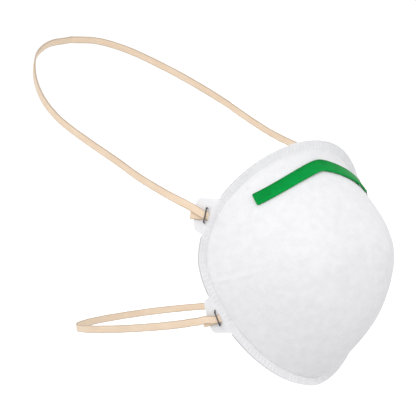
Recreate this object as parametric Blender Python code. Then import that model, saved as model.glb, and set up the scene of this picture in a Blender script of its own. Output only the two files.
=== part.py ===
"""Disposable dust mask: a moulded cup respirator on two elastic head straps.

Metres, +Z up.  The cup bulges toward -Y and the wearer's left side is +X.  The
origin is the middle of the face opening, level with the rim at the cheeks.
"""
import math

import bmesh
import bpy
import numpy as np
from mathutils import Vector

MM = 0.001

# Outer edge of the flange, seen from the front: two joined superellipses.
RIM_HALF_WIDTH = 62.0
RIM_ABOVE = 60.0
RIM_BELOW = 71.0
RIM_POWER_ABOVE = 1.95
RIM_POWER_BELOW = 1.73
# The flange curves forward from the cheeks to the nose and to the chin.
NOSE_FORWARD = 22.0
CHIN_FORWARD = 20.0
NOSE_CURVE = 2.1
CHIN_CURVE = 1.25
FLANGE_WIDTH = 4.5

# Cup: its crown, and the two powers of the curve from crown to flange.
CUP_DEPTH = 58.2
CROWN_HEIGHT = -5.0
CUP_POWERS_ABOVE = (2.05, 0.625)
CUP_POWERS_BESIDE = (3.00, 1.11)
CUP_POWERS_BELOW = (2.56, 1.01)

# Strap tabs: the rim heights between which one leaves the flange, how far it is
# turned back, its top and bottom edges as (out, up) along it, its corners, its
# staple and how that leans, and the stapled strap's tail and run from there.
TAB_FILLET = 2.0
TAB_BEND = 1.8
TAB_EDGE_STEPS = (0.0, 0.5, 1.4, 3.2)
TAB_FILLET_STEPS = (0.05, 0.7, 2.0)
UPPER_TAB = {
    "top": 32.5, "bottom": 14.3, "turn_back": 52.0,
    "top_edge": (12.2, 1.0), "bottom_edge": (4.6, 2.5), "top_corner": 2.4, "bottom_corner": 1.0,
    "staple": (1.95, 0.78), "lean": 12.0,
    "tail": ((1.5, -0.6), (8.2, -1.2)), "run": ((1.2, 0.2), (5.0, 1.55), (8.8, 2.9)),
}
LOWER_TAB = {
    "top": -17.8, "bottom": -37.2, "turn_back": 45.0,
    "top_edge": (3.4, -2.3), "bottom_edge": (10.0, 0.0), "top_corner": 1.0, "bottom_corner": 2.0,
    "staple": (1.18, -1.25), "lean": -18.0,
    "tail": ((1.75, -0.9), (8.1, -0.5)), "run": ((1.2, -0.2), (6.35, 1.45), (10.1, 1.8)),
}
TABS = (UPPER_TAB, LOWER_TAB)

# Layers of the wall, as depths behind the outside of the cup.
GAP = 0.35
COVER_THICK = 0.7
FILTER_THICK = 1.0
SUPPORT_THICK = 0.8
LINING_THICK = 0.5
FILTER_DEPTH = COVER_THICK + GAP
SUPPORT_DEPTH = FILTER_DEPTH + FILTER_THICK + GAP
LINING_DEPTH = SUPPORT_DEPTH + SUPPORT_THICK + GAP
FLANGE_GAP = 0.5
FLANGE_LINING_DEPTH = COVER_THICK + FLANGE_GAP

# Rows of the cup mesh as shares of the way from crown to flange.
CUP_ROWS = (1.0, 0.996, 0.985, 0.97, 0.945, 0.90, 0.83, 0.73, 0.60, 0.44, 0.25)
CORE_START_ROW = 3
# Rows of the flange, as shares of the way from its outer edge to the cup.
FLANGE_SHARES = (0.0, 0.36, 0.55, 0.68, 0.82)
FLANGE_ROWS = len(FLANGE_SHARES)
RIM_STEP_DEG = 7.5

# Nose strip and the foam behind it.
STRIP_WIDTH = 7.2
STRIP_THICK = 1.0
STRIP_HALF_SPAN = 39.5
STRIP_TOP = 46.5
STRIP_SLOPE = 0.26
STRIP_BEND = 3.5
STRIP_CURVE = 0.0038
FOAM_WIDTH = 9.0
FOAM_THICK = 3.0
FOAM_HALF_SPAN = 36.0
FOAM_LOWER = 1.0

# Head straps: flat elastic bands.
BAND_WIDTH = 4.2
BAND_THICK = 0.9
STRAP_GAP = BAND_WIDTH / 2.0 + 0.45
LOOP_SPACING = 7.0
FOLD_REACH = -0.3

# Staples: bent steel wire.
WIRE_RADIUS = 0.32
WIRE_SIDES = 8
STAPLE_CROWN = 7.8
STAPLE_CLINCH = 2.8
STAPLE_CORNER = 0.8
CLINCH_GAP = 0.45
HOLE_SIDE = 1.3
HOLE_BACK = -4.0
HOLE_FRONT = 3.0

# Half of each strap's loop, from its hinge line to the middle of the back.
UPPER_ROUTE = (
    (66.2, 9.0, 31.8), (68.3, 14.5, 34.5), (69.8, 23.5, 38.3), (70.2, 38.0, 43.8),
    (69.5, 57.0, 51.6), (68.0, 80.0, 60.0), (67.2, 103.4, 69.7), (65.3, 119.5, 77.5), (59.7, 137.5, 87.1),
    (50.2, 155.5, 98.0), (36.5, 172.0, 108.7), (19.0, 182.6, 115.3), (0.0, 186.4, 117.4),
)
LOWER_ROUTE = (
    (65.8, 3.9, -30.9), (67.2, 10.0, -32.2), (67.0, 28.0, -35.3), (64.0, 50.0, -38.8),
    (60.8, 70.0, -41.8), (59.4, 86.0, -43.8), (57.8, 103.0, -45.7), (53.8, 117.4, -47.2),
    (46.0, 129.0, -48.2), (34.0, 137.7, -48.9), (18.0, 143.2, -49.3), (0.0, 144.8, -49.4),
)
UPPER_WIDTH_DIRECTION = Vector((0.0, -0.40, 0.92))
LOWER_WIDTH_DIRECTION = Vector((0.0, 0.10, 0.99))
STRAPS = (
    ("upper", UPPER_TAB, UPPER_ROUTE, UPPER_WIDTH_DIRECTION),
    ("lower", LOWER_TAB, LOWER_ROUTE, LOWER_WIDTH_DIRECTION),
)


def clear_scene():
    for obj in list(bpy.data.objects):
        bpy.data.objects.remove(obj, do_unlink=True)


def material(name, color, roughness, metallic=0.0):
    mat = bpy.data.materials.new(name)
    mat.use_nodes = True
    shader = mat.node_tree.nodes["Principled BSDF"]
    shader.inputs["Base Color"].default_value = (*color, 1.0)
    shader.inputs["Roughness"].default_value = roughness
    shader.inputs["Metallic"].default_value = metallic
    return mat


def add_object(name, bm, mat, origin=None):
    """Turn a bmesh in millimetres into an object whose origin is `origin`."""
    bmesh.ops.recalc_face_normals(bm, faces=bm.faces)
    start = Vector(origin) if origin is not None else Vector((0.0, 0.0, 0.0))
    for vert in bm.verts:
        vert.co = (vert.co - start) * MM
    mesh = bpy.data.meshes.new(name)
    bm.to_mesh(mesh)
    bm.free()
    mesh.materials.append(mat)
    mesh.shade_smooth()
    mesh.set_sharp_from_angle(angle=math.radians(35.0))
    obj = bpy.data.objects.new(name, mesh)
    obj.location = start * MM
    bpy.context.collection.objects.link(obj)
    return obj


# ---------------------------------------------------------------- rim and cup

def rim_side(height_sign):
    if height_sign >= 0.0:
        return RIM_ABOVE, RIM_POWER_ABOVE, NOSE_FORWARD, NOSE_CURVE
    return RIM_BELOW, RIM_POWER_BELOW, CHIN_FORWARD, CHIN_CURVE


def rim_forward(height, inset=0.0):
    """Y of the flange at a height: zero at the cheeks, forward at both ends."""
    reach, _, forward, curve = rim_side(height)
    return -forward * (abs(height) / (reach - inset)) ** curve


def rim_point(angle, inset=0.0):
    """Point of the rim curve, moved inward by `inset`."""
    reach, power, _, _ = rim_side(math.sin(angle))
    across, up = math.cos(angle), math.sin(angle)
    x = (RIM_HALF_WIDTH - inset) * math.copysign(abs(across) ** (2.0 / power), across)
    z = (reach - inset) * math.copysign(abs(up) ** (2.0 / power), up)
    return Vector((x, rim_forward(z, inset), z))


def angle_at_height(height):
    reach, power, _, _ = rim_side(height)
    return math.copysign(math.asin((abs(height) / reach) ** (power / 2.0)), height)


def rim_at_height(height):
    return rim_point(angle_at_height(height))


class TabFrame:
    """Directions on a tab: out along it, up it, and forward from its face."""

    def __init__(self, tab, side=1.0):
        high, low = rim_at_height(tab["top"]), rim_at_height(tab["bottom"])
        turn, lean = math.radians(tab["turn_back"]), math.radians(tab["lean"])
        out = Vector((math.cos(turn), math.sin(turn), 0.0))
        front = out.cross(high - low).normalized()
        up = front.cross(out)
        middle = rim_at_height(0.5 * (tab["top"] + tab["bottom"]))
        staple_spot = middle + out * tab["staple"][0] + up * tab["staple"][1]
        self.side = side
        self.flat_out, self.flat_up = out, up
        self.staple = mirrored(staple_spot, side)
        self.out = mirrored(out * math.cos(lean) + up * math.sin(lean), side)
        self.up = mirrored(up * math.cos(lean) - out * math.sin(lean), side)
        self.front = mirrored(front, side)

    def at(self, reach, up, lift):
        """Point out, up and forward from the middle of the staple."""
        return self.staple + self.out * reach + self.up * up + self.front * lift


def mirrored(point, side):
    return Vector((point.x * side, point.y, point.z))


def tab_at(height):
    for tab in TABS:
        if tab["bottom"] - TAB_FILLET < height < tab["top"] + TAB_FILLET:
            return tab
    return None


def tab_length(tab, height, full):
    """Length of the tab from the rim: rounded corners, filleted roots."""
    above, below = tab["top"] - height, height - tab["bottom"]
    corner = tab["top_corner"] if above < below else tab["bottom_corner"]
    inside = min(above, below)
    if inside >= 0.0:
        short = max(corner - inside, 0.0)
        return full - corner + math.sqrt(corner ** 2 - short ** 2)
    gone = 1.0 + inside / TAB_FILLET
    return TAB_FILLET * (1.0 - math.sqrt(1.0 - gone ** 2))


def tab_tip(rim):
    """Where the tab ends outside a point of the rim, on the +X side."""
    tab = tab_at(rim.z)
    if tab is None:
        return rim
    frame = TabFrame(tab)
    share = (rim.z - tab["bottom"]) / (tab["top"] - tab["bottom"])
    share = min(max(share, 0.0), 1.0)
    edge = Vector(tab["bottom_edge"]).lerp(Vector(tab["top_edge"]), share)
    edge *= tab_length(tab, rim.z, edge.length) / edge.length
    return rim + frame.flat_out * edge.x + frame.flat_up * edge.y


def tab_heights(tab):
    inside = [tab["top"] - s for s in TAB_EDGE_STEPS]
    inside.append((tab["top"] + tab["bottom"]) / 2.0)
    inside += [tab["bottom"] + s for s in reversed(TAB_EDGE_STEPS)]
    above = [tab["top"] + s for s in reversed(TAB_FILLET_STEPS)]
    below = [tab["bottom"] - s for s in TAB_FILLET_STEPS]
    return above + inside + below


def rim_angles():
    """Angles of the mesh columns, all the way round from the nose."""
    count = round(180.0 / RIM_STEP_DEG)
    plain = [math.radians(90.0 - RIM_STEP_DEG * i) for i in range(count + 1)]
    half = []
    for angle in plain:
        height = rim_point(angle).z
        near_tab = any(t["bottom"] - 4.0 < height < t["top"] + 4.0 for t in TABS)
        if not near_tab:
            half.append(angle)
    for tab in TABS:
        half += [angle_at_height(h) for h in tab_heights(tab)]
    half.sort(reverse=True)
    return half + [math.pi - a for a in reversed(half[1:-1])]


def bezier(a, b, c, t):
    return a * (1.0 - t) ** 2 + b * 2.0 * t * (1.0 - t) + c * t ** 2


def flange_points(angle):
    """Flange from its outer edge inward, bent where a tab turns back."""
    side = 1.0 if math.cos(angle) >= 0.0 else -1.0
    rim = mirrored(rim_point(angle), side)
    seal = mirrored(rim_point(angle, FLANGE_WIDTH), side)
    tip = tab_tip(rim)
    beyond = tip - rim
    bend_out = rim + beyond * min(1.0, TAB_BEND / max(beyond.length, TAB_BEND))
    bend_in = rim.lerp(seal, TAB_BEND / FLANGE_WIDTH)
    path = [tip] + [bezier(bend_out, rim, bend_in, i / 8.0) for i in range(9)] + [seal]
    steps = [(b - a).length for a, b in zip(path, path[1:])]
    reach = np.concatenate([[0.0], np.cumsum(steps)])
    table = np.array([tuple(p) for p in path])
    marks = [share * reach[-1] for share in FLANGE_SHARES]
    spots = [Vector([np.interp(m, reach, table[:, k]) for k in range(3)]) for m in marks]
    return [mirrored(p, side) for p in spots]


def cup_powers(up):
    above, below = max(up, 0.0) ** 2, max(-up, 0.0) ** 2
    beside = 1.0 - above - below
    shares = zip(CUP_POWERS_ABOVE, CUP_POWERS_BESIDE, CUP_POWERS_BELOW)
    return [a * above + s * beside + b * below for a, s, b in shares]


def cup_point(angle, share):
    """Point on the outside of the cup, from the crown (0) to the flange (1)."""
    seal = rim_point(angle, FLANGE_WIDTH)
    first, second = cup_powers(math.sin(angle))
    rise = max(1.0 - share ** first, 0.0) ** (1.0 / second)
    x = seal.x * share
    y = seal.y - (seal.y + CUP_DEPTH) * rise
    z = CROWN_HEIGHT + (seal.z - CROWN_HEIGHT) * share
    return Vector((x, y, z))


def wall_column(angle):
    """One column of the wall: flange edge first, then in to the crown."""
    return flange_points(angle) + [cup_point(angle, share) for share in CUP_ROWS]


def rim_directions(angles):
    step = 0.001
    pairs = [(rim_point(a - step), rim_point(a + step)) for a in angles]
    return np.array([tuple((ahead - behind).normalized()) for ahead, behind in pairs])


def wall_grid():
    """Points and outward normals of the outside of the wall."""
    angles = rim_angles()
    points = np.array([[tuple(p) for p in wall_column(a)] for a in angles])
    around = np.roll(points, -1, axis=0) - np.roll(points, 1, axis=0)
    around[:, :FLANGE_ROWS] = rim_directions(angles)[:, None]
    inward = np.diff(points, axis=1)
    faces = np.cross(inward, around[:, :-1])
    faces /= np.linalg.norm(faces, axis=2, keepdims=True)
    normals = np.empty_like(points)
    normals[:, 0] = faces[:, 0]
    normals[:, -1] = faces[:, -1]
    normals[:, 1:-1] = faces[:, 1:] + faces[:, :-1]
    normals /= np.linalg.norm(normals, axis=2, keepdims=True)
    mitre = np.ones(points.shape[:2])
    mitre[:, 1:-1] = (normals[:, 1:-1] * faces[:, 1:]).sum(axis=2)
    return points, normals / np.clip(mitre, 0.75, 1.0)[:, :, None]


def add_grid(bm, points, crown):
    """Rings of vertices joined by quads and closed by a fan at the crown."""
    columns, rows = points.shape[:2]
    verts = [[bm.verts.new(points[c, r]) for r in range(rows)] for c in range(columns)]
    tip = bm.verts.new(crown)
    for c in range(columns):
        here, there = verts[c], verts[(c + 1) % columns]
        for r in range(rows - 1):
            bm.faces.new((here[r], there[r], there[r + 1], here[r + 1]))
        bm.faces.new((here[-1], there[-1], tip))
    return verts


def layer(name, mat, first_row, front, thickness):
    """A sheet of the wall, `front` deep row by row and `thickness` thick."""
    points, normals = wall_grid()
    points, normals = points[:, first_row:], normals[:, first_row:]
    depth = np.array(front[first_row:])[None, :, None]
    crown = Vector((0.0, front[-1] - CUP_DEPTH, CROWN_HEIGHT))
    bm = bmesh.new()
    outside = add_grid(bm, points - normals * depth, crown)
    back = crown + Vector((0.0, thickness, 0.0))
    inside = add_grid(bm, points - normals * (depth + thickness), back)
    count = len(outside)
    for c in range(count):
        d = (c + 1) % count
        bm.faces.new((outside[c][0], outside[d][0], inside[d][0], inside[c][0]))
    return add_object(name, bm, mat)


def even_depth(depth):
    return [depth] * (FLANGE_ROWS + len(CUP_ROWS))


def lining_depth():
    """The lining lies on the cover at the flange and behind the core in the cup."""
    depths = even_depth(LINING_DEPTH)
    core = FLANGE_ROWS + CORE_START_ROW
    for row in range(core):
        depths[row] = FLANGE_LINING_DEPTH
    depths[core - 1] = 0.5 * (FLANGE_LINING_DEPTH + LINING_DEPTH)
    return depths


# ------------------------------------------------------- places on the cup

def surface_point(x, z):
    """Point on the outside of the cup straight in front of (x, z)."""
    low, high = math.atan2(z - CROWN_HEIGHT, abs(x)) - 0.7, math.pi / 2.0
    target = Vector((abs(x), z - CROWN_HEIGHT))
    for _ in range(40):
        middle = 0.5 * (low + high)
        seal = rim_point(middle, FLANGE_WIDTH)
        if math.atan2(seal.z - CROWN_HEIGHT, seal.x) < math.atan2(target.y, target.x):
            low = middle
        else:
            high = middle
    seal = rim_point(low, FLANGE_WIDTH)
    share = target.length / Vector((seal.x, seal.z - CROWN_HEIGHT)).length
    point = cup_point(low, min(share, 1.0))
    return Vector((x, point.y, z))


def surface_normal(x, z):
    step = 0.5
    across = surface_point(x + step, z) - surface_point(x - step, z)
    up = surface_point(x, z + step) - surface_point(x, z - step)
    return across.cross(up).normalized()


def strip_height(x, lower):
    """Height of the nose strip's middle line: straight arms, rounded bend."""
    fall = STRIP_SLOPE * (math.hypot(x, STRIP_BEND) - STRIP_BEND) + STRIP_CURVE * x * x
    return STRIP_TOP - lower - fall


def strip_section(x, width, depth, thickness, lower, slices):
    """Cross-section that follows the cup: its front row, then its back row."""
    ahead = surface_point(x + 0.5, strip_height(x + 0.5, lower))
    behind = surface_point(x - 0.5, strip_height(x - 0.5, lower))
    along = (ahead - behind).normalized()
    middle = surface_point(x, strip_height(x, lower))
    side = surface_normal(x, middle.z).cross(along).normalized()
    front, back = [], []
    for i in range(slices + 1):
        spot = middle + side * (width * (i / slices - 0.5))
        spot = surface_point(spot.x, spot.z)
        normal = surface_normal(spot.x, spot.z)
        front.append(spot - normal * depth)
        back.append(spot - normal * (depth + thickness))
    return front + back[::-1]


def bent_strip(name, mat, half_span, width, depth, thickness, lower, steps):
    bm = bmesh.new()
    rings = []
    for i in range(steps + 1):
        x = half_span * (2.0 * i / steps - 1.0)
        section = strip_section(x, width, depth, thickness, lower, 4)
        rings.append([bm.verts.new(p) for p in section])
    join_rings(bm, rings)
    return add_object(name, bm, mat)


def join_rings(bm, rings):
    """Skin a row of rings and cap both ends."""
    size = len(rings[0])
    for a, b in zip(rings, rings[1:]):
        for i in range(size):
            j = (i + 1) % size
            bm.faces.new((a[i], a[j], b[j], b[i]))
    bm.faces.new(rings[0][::-1])
    bm.faces.new(rings[-1])


# --------------------------------------------------------- bands and wires

def smooth_path(route, spacing):
    """Evenly spaced points of a smooth curve through the route's points."""
    pts = [Vector(p) for p in route]
    pts = [pts[0] * 2.0 - pts[1]] + pts + [pts[-1] * 2.0 - pts[-2]]
    dense = []
    for a, b, c, d in zip(pts, pts[1:], pts[2:], pts[3:]):
        for i in range(24):
            t = i / 24.0
            ease = (c - a) * t + (a * 2.0 - b * 5.0 + c * 4.0 - d) * t ** 2
            dense.append(b + (ease + (b * 3.0 - a - c * 3.0 + d) * t ** 3) * 0.5)
    dense.append(pts[-2])
    steps = [(q - p).length for p, q in zip(dense, dense[1:])]
    reach = np.concatenate([[0.0], np.cumsum(steps)])
    marks = np.linspace(0.0, reach[-1], round(reach[-1] / spacing) + 1)
    table = np.array([tuple(p) for p in dense])
    return [Vector([np.interp(m, reach, table[:, k]) for k in range(3)]) for m in marks]


def heading(path, i):
    """Direction of the path at its point number i."""
    return (path[min(i + 1, len(path) - 1)] - path[max(i - 1, 0)]).normalized()


def band(name, mat, path, width_direction, origin=None, widths=None):
    """A flat band whose width keeps to one direction along the path."""
    bm = bmesh.new()
    rings = []
    widths = widths or [BAND_WIDTH] * len(path)
    for i, spot in enumerate(path):
        along = heading(path, i)
        wide = (width_direction - along * width_direction.dot(along)).normalized()
        thick = along.cross(wide)
        half_w, half_t = wide * (widths[i] / 2.0), thick * (BAND_THICK / 2.0)
        corners = (half_w + half_t, half_t - half_w, -half_w - half_t, half_w - half_t)
        rings.append([bm.verts.new(spot + c) for c in corners])
    join_rings(bm, rings)
    return add_object(name, bm, mat, origin)


def whole_loop(route):
    half = [Vector(p) for p in route]
    return half + [Vector((-p.x, p.y, p.z)) for p in reversed(half[:-1])]


def round_tips(path):
    """The path carried on past both ends, and widths that make the tips round."""
    radius = BAND_WIDTH / 2.0
    turns = [math.radians(d) for d in (20.0, 42.0, 65.0)]
    tips = []
    for tip, inner in ((path[0], path[1]), (path[-1], path[-2])):
        away = (tip - inner).normalized() * radius
        tips.append([tip + away * math.cos(t) for t in turns])
    narrow = [BAND_WIDTH * math.sin(t) for t in turns]
    widths = narrow + [BAND_WIDTH] * len(path) + narrow[::-1]
    return tips[0] + path + tips[1][::-1], widths


def strap_loop(name, mat, route, width_direction):
    """The free part of a strap, with its origin on the hinge line."""
    hinge = Vector((0.0, route[0][1], route[0][2]))
    path, widths = round_tips(smooth_path(whole_loop(route), LOOP_SPACING))
    return band(name, mat, path, width_direction, hinge, widths)


TAIL_LIFT = GAP + BAND_THICK / 2.0
RUN_LIFT = TAIL_LIFT + BAND_THICK + GAP
WIRE_LIFT = RUN_LIFT + BAND_THICK / 2.0 + GAP + WIRE_RADIUS


def strap_end(name, mat, frame, tab, hinge):
    """The stapled end: tail, fold under the staple, then out to the hinge line."""
    radius = (RUN_LIFT - TAIL_LIFT) / 2.0
    centre = TAIL_LIFT + radius
    (near, near_up), (far, far_up) = tab["tail"]
    start_up = tab["run"][0][1]
    path = [frame.at(far, far_up, TAIL_LIFT), frame.at(near, near_up, TAIL_LIFT)]
    for i in range(7):
        turn = math.pi * i / 6.0
        reach = FOLD_REACH - radius * math.sin(turn)
        up = near_up + (start_up - near_up) * i / 6.0
        path.append(frame.at(reach, up, centre - radius * math.cos(turn)))
    run = [frame.at(reach, up, RUN_LIFT) for reach, up in tab["run"]]
    path += smooth_path([path[-1]] + run + [mirrored(hinge, frame.side)], 1.6)[1:]
    return band(name, mat, path, frame.up)


def staple(name, mat, frame):
    """Crown across the strap, legs through the tab, points turned outward."""
    half = STAPLE_CROWN / 2.0
    back = -(FLANGE_LINING_DEPTH + LINING_THICK + CLINCH_GAP + WIRE_RADIUS)
    inner = half - STAPLE_CLINCH
    shape = ((inner, back), (half, back), (half, WIRE_LIFT))
    outline = shape + tuple((-up, lift) for up, lift in reversed(shape))
    spots = rounded([Vector(p) for p in outline], STAPLE_CORNER)
    path = [frame.at(0.0, p.x, p.y) for p in spots]
    bm = bmesh.new()
    rings = []
    for i, spot in enumerate(path):
        first = frame.out * WIRE_RADIUS
        second = frame.out.cross(heading(path, i)).normalized() * WIRE_RADIUS
        turns = [math.tau * k / WIRE_SIDES for k in range(WIRE_SIDES)]
        ring = [spot + first * math.cos(t) + second * math.sin(t) for t in turns]
        rings.append([bm.verts.new(p) for p in ring])
    join_rings(bm, rings)
    return add_object(name, bm, mat)


def rounded(corners, radius):
    """A polyline with each inner corner replaced by a short arc."""
    path = [corners[0]]
    for before, corner, after in zip(corners, corners[1:], corners[2:]):
        start = corner + (before - corner).normalized() * radius
        end = corner + (after - corner).normalized() * radius
        for i in range(5):
            t = i / 4.0
            path.append(start * (1 - t) ** 2 + corner * 2 * t * (1 - t) + end * t ** 2)
    return path + [corners[-1]]


def leg_cutter(frames):
    """Square pins where the staple legs pass through the tabs."""
    bm = bmesh.new()
    half = HOLE_SIDE / 2.0
    for frame in frames:
        for end in (-0.5, 0.5):
            corners = []
            for lift in (HOLE_BACK, HOLE_FRONT):
                for a, b in ((-half, -half), (half, -half), (half, half), (-half, half)):
                    spot = frame.at(a, end * STAPLE_CROWN + b, lift)
                    corners.append(bm.verts.new(spot))
            join_rings(bm, [corners[:4], corners[4:]])
    cutter = add_object("leg_cutter", bm, material("cutter", (0.5, 0.5, 0.5), 0.5))
    cutter.hide_render = True
    cutter.display_type = "WIRE"
    return cutter


def cut_with(obj, cutter):
    cut = obj.modifiers.new("leg_holes", "BOOLEAN")
    cut.operation = "DIFFERENCE"
    cut.solver = "EXACT"
    cut.object = cutter


# ------------------------------------------------------------------ assembly

def build_cup():
    white = material("white_nonwoven", (0.86, 0.86, 0.88), 0.95)
    felt = material("filter_felt", (0.80, 0.81, 0.82), 0.95)
    shell = material("support_fibre", (0.83, 0.83, 0.80), 0.9)
    inner = material("lining_nonwoven", (0.88, 0.88, 0.89), 0.9)
    core = FLANGE_ROWS + CORE_START_ROW
    cover = layer("outer_cover", white, 0, even_depth(0.0), COVER_THICK)
    layer("filter_layer", felt, core, even_depth(FILTER_DEPTH), FILTER_THICK)
    layer("support_shell", shell, core, even_depth(SUPPORT_DEPTH), SUPPORT_THICK)
    lining = layer("inner_lining", inner, 0, lining_depth(), LINING_THICK)
    return cover, lining


def build_nose():
    green = material("nose_strip_green", (0.0, 0.32, 0.10), 0.4)
    foam = material("nose_foam_grey", (0.75, 0.75, 0.75), 0.95)
    front = -(GAP + STRIP_THICK)
    bent_strip("nose_strip", green, STRIP_HALF_SPAN, STRIP_WIDTH, front, STRIP_THICK, 0.0, 40)
    depth = LINING_DEPTH + LINING_THICK + GAP
    bent_strip("nose_foam", foam, FOAM_HALF_SPAN, FOAM_WIDTH, depth, FOAM_THICK, FOAM_LOWER, 28)


def build_straps(cover, lining):
    elastic = material("strap_elastic", (0.87, 0.72, 0.55), 0.6)
    steel = material("staple_steel", (0.55, 0.55, 0.57), 0.3, 1.0)
    frames = []
    for level, tab, route, wide in STRAPS:
        strap_loop(f"{level}_strap", elastic, route, wide)
        start, following = Vector(route[0]), Vector(route[1])
        hinge = start - (following - start).normalized() * STRAP_GAP
        for side, word in ((1.0, "left"), (-1.0, "right")):
            frame = TabFrame(tab, side)
            frames.append(frame)
            strap_end(f"{level}_strap_end_{word}", elastic, frame, tab, hinge)
            staple(f"{level}_staple_{word}", steel, frame)
    cutter = leg_cutter(frames)
    cut_with(cover, cutter)
    cut_with(lining, cutter)


def main():
    clear_scene()
    cover, lining = build_cup()
    build_nose()
    build_straps(cover, lining)


main()
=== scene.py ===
"""Looks of the disposable dust mask: its pieces, materials, light and camera.

Lengths are millimetres until a piece is made, then metres in the row frame:
+Z up, the cup bulging toward -Y, the wearer's left side at +X.
"""
import math

import bmesh
import bpy
import numpy as np
from mathutils import Matrix, Vector, noise


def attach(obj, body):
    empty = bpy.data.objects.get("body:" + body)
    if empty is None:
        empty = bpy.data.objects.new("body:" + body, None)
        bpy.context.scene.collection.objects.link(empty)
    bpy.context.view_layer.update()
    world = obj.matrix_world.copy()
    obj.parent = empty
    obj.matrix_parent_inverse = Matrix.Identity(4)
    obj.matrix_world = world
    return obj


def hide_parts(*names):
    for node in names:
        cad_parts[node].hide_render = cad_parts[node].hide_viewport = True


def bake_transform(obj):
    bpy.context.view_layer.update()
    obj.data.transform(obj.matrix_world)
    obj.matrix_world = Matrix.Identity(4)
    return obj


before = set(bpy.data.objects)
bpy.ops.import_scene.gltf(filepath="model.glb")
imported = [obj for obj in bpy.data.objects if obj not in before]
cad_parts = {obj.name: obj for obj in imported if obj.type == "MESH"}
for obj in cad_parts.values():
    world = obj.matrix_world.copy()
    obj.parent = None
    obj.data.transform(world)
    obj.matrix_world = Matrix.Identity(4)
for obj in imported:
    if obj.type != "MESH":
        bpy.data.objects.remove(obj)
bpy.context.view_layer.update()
MM = 0.001

# Outer edge of the flange: two joined superellipses, curving forward in Y.
RIM_HALF_WIDTH = 62.0
RIM_ABOVE = 60.0
RIM_BELOW = 71.0
RIM_POWER_ABOVE = 1.95
RIM_POWER_BELOW = 1.73
NOSE_FORWARD = 22.0
CHIN_FORWARD = 20.0
NOSE_CURVE = 2.1
CHIN_CURVE = 1.25
FLANGE_WIDTH = 4.5

# Cup from its crown to the flange.
CUP_DEPTH = 58.2
CROWN_HEIGHT = -5.0
CUP_POWERS_ABOVE = (2.05, 0.625)
CUP_POWERS_BESIDE = (3.00, 1.11)
CUP_POWERS_BELOW = (2.56, 1.01)

# Strap tabs: rim heights, turn back out of the flange, edges and corners, the
# staple and its lean, and the strap's tail and run from it.
TAB_FILLET = 2.0
TAB_BEND = 1.8
UPPER_TAB = {
    "top": 32.5, "bottom": 14.3, "turn_back": 52.0,
    "top_edge": (12.2, 1.0), "bottom_edge": (4.6, 2.5), "top_corner": 2.4, "bottom_corner": 1.0,
    "staple": (1.95, 0.78), "lean": 12.0,
    "tail": ((1.5, -0.6), (8.2, -1.2)), "run": ((1.2, 0.2), (5.0, 1.55), (8.8, 2.9)),
}
LOWER_TAB = {
    "top": -17.8, "bottom": -37.2, "turn_back": 45.0,
    "top_edge": (3.4, -2.3), "bottom_edge": (10.0, 0.0), "top_corner": 1.0, "bottom_corner": 2.0,
    "staple": (1.18, -1.25), "lean": -18.0,
    "tail": ((1.75, -0.9), (8.1, -0.5)), "run": ((1.2, -0.2), (6.35, 1.45), (10.1, 1.8)),
}
TABS = (UPPER_TAB, LOWER_TAB)
TAB_EDGE_STEPS = (-2.0, -1.4, -0.9, -0.5, -0.2, -0.03, 0.0, 0.12, 0.35, 0.7, 1.1, 1.6, 2.1, 2.6)

# Layers.
GAP = 0.35
COVER_THICK = 0.7
LINING_DEPTH = 3.55
FLANGE_LINING_DEPTH = 1.2
LINING_THICK = 0.5
LINING_SWELL = 0.2

# Mesh of the two shells: columns of half the rim, rows of the flange, rows of the cup.
# The back of the cover keeps every few rows, and the lining steps in over some.
COVER_MESH = (470, 24, 60)
COVER_BACK_STRIDES = (4, 6)
LINING_MESH = (330, 14, 44)
LINING_STEP_ROWS = 9
RIM_SAMPLES = 6001
COLUMN_SPACING = math.radians(0.16)
CUP_ROW_CROWDING = 1.7

# Steps for directions, round the rim (radians) and over the cup, and the
# bisection that finds the cup's surface in front of a point.
ANGLE_STEP = 0.001
SURFACE_STEP = 0.5
SEARCH_SPAN = 0.7
SEARCH_ROUNDS = 34

# Lumps of moulded fabric and foam: rows of height, size and seed.
COVER_LUMPS = ((0.34, 26.0, 1.0), (0.13, 9.0, 2.0), (0.05, 3.0, 3.0))
LINING_LUMPS = ((0.30, 18.0, 4.0), (0.12, 6.0, 5.0))
STRIP_LUMPS = ((0.10, 9.0, 6.0),)
FOAM_LUMPS = ((0.12, 4.0, 7.0), (0.05, 1.5, 8.0))
FLANGE_CALM = 0.3
RELIEF_LIMITS = (-0.4, 0.9)

# Weld of the flange: ridges, dimples, the thinned band, and the line at its inner edge.
RIDGE_PITCH = 2.45
RIDGE_HEIGHT = 0.20
RIDGE_BAND = (0.9, 3.7, 0.35)
DIMPLE_ROW = 1.4
WELD_BAND = (0.75, 3.9, 0.3)
WELD_SINK = 0.10
SEAL_GROOVE = 0.30

# Nose strip and foam.
STRIP_WIDTH = 7.2
STRIP_THICK = 1.0
STRIP_HALF_SPAN = 39.5
STRIP_TOP = 46.5
STRIP_SLOPE = 0.26
STRIP_BEND = 3.5
STRIP_CURVE = 0.0038
STRIP_CORNER = 0.28
STRIP_END_ROUND = 0.7
STRIP_UV_LENGTH = 9.0
# Painted shade across the nose strip, by UV v from its lower to its upper edge: darkest along the upper
# edge, lightest near the lower edge.
STRIP_PAINTED_SHADE = ((0.0, 0.95), (0.12, 1.0), (0.26, 0.93), (0.72, 0.90), (0.90, 0.76), (1.0, 0.55))
FOAM_WIDTH = 9.0
FOAM_THICK = 3.0
FOAM_HALF_SPAN = 36.0
FOAM_LOWER = 1.0
FOAM_CORNER = 0.9
FOAM_END_ROUND = 1.2
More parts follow.
